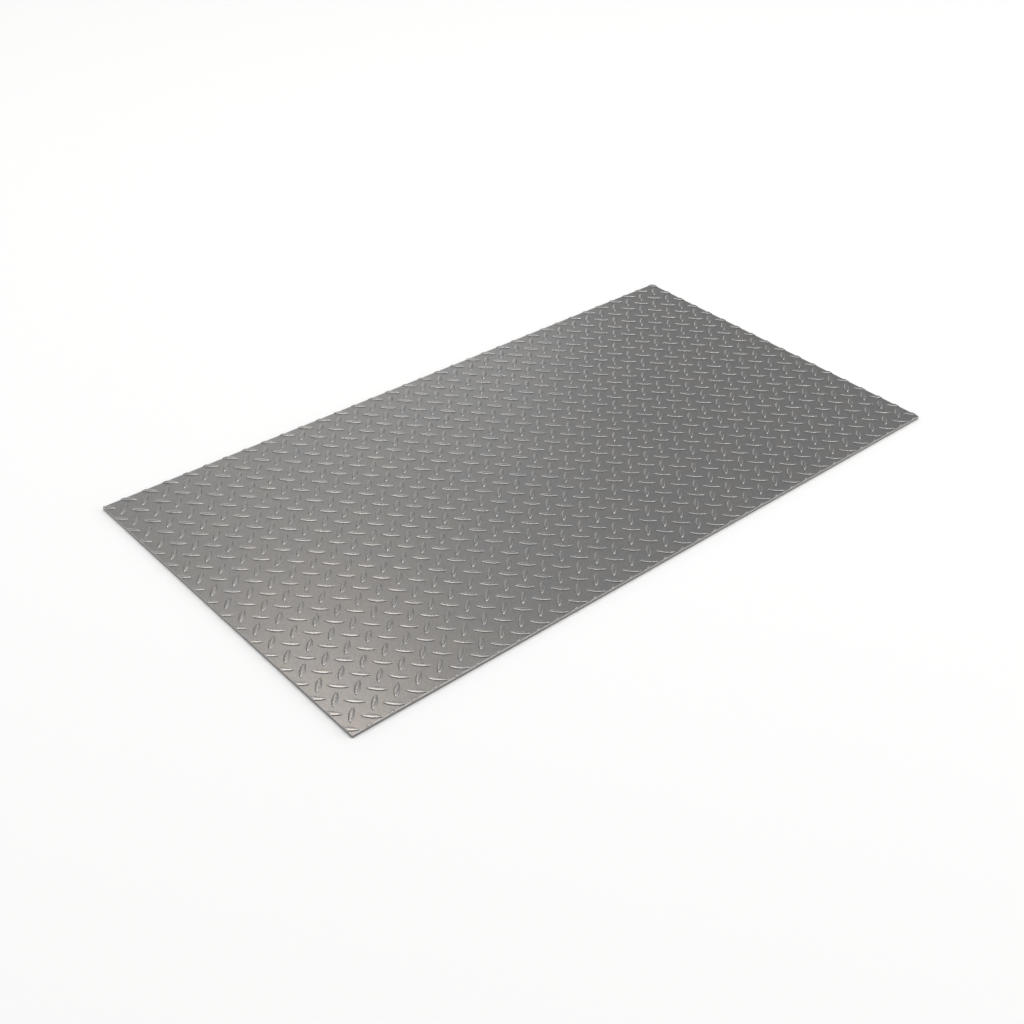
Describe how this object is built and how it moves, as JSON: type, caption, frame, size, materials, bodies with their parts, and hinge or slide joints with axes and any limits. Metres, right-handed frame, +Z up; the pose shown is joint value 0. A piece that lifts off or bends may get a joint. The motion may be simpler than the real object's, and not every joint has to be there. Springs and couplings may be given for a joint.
{
  "type": "checker steel plate",
  "caption": "Flat rectangular steel floor plate with a tread of raised pointed tears in two crossed directions and square sheared edges.",
  "frame": {"origin": "middle of the flat underside, where the plate lies on the floor", "axes": "+X along the plate's length, +Y along its width, +Z up out of the tread face"},
  "size_m": [1.25, 0.66, 0.0075],
  "materials": {
    "rolled_steel": "satin, hot rolled and pickled, with rubbed tear tops"
  },
  "bodies": {
    "root": {"checker_plate": "rolled_steel"}
  },
  "joints": []
}
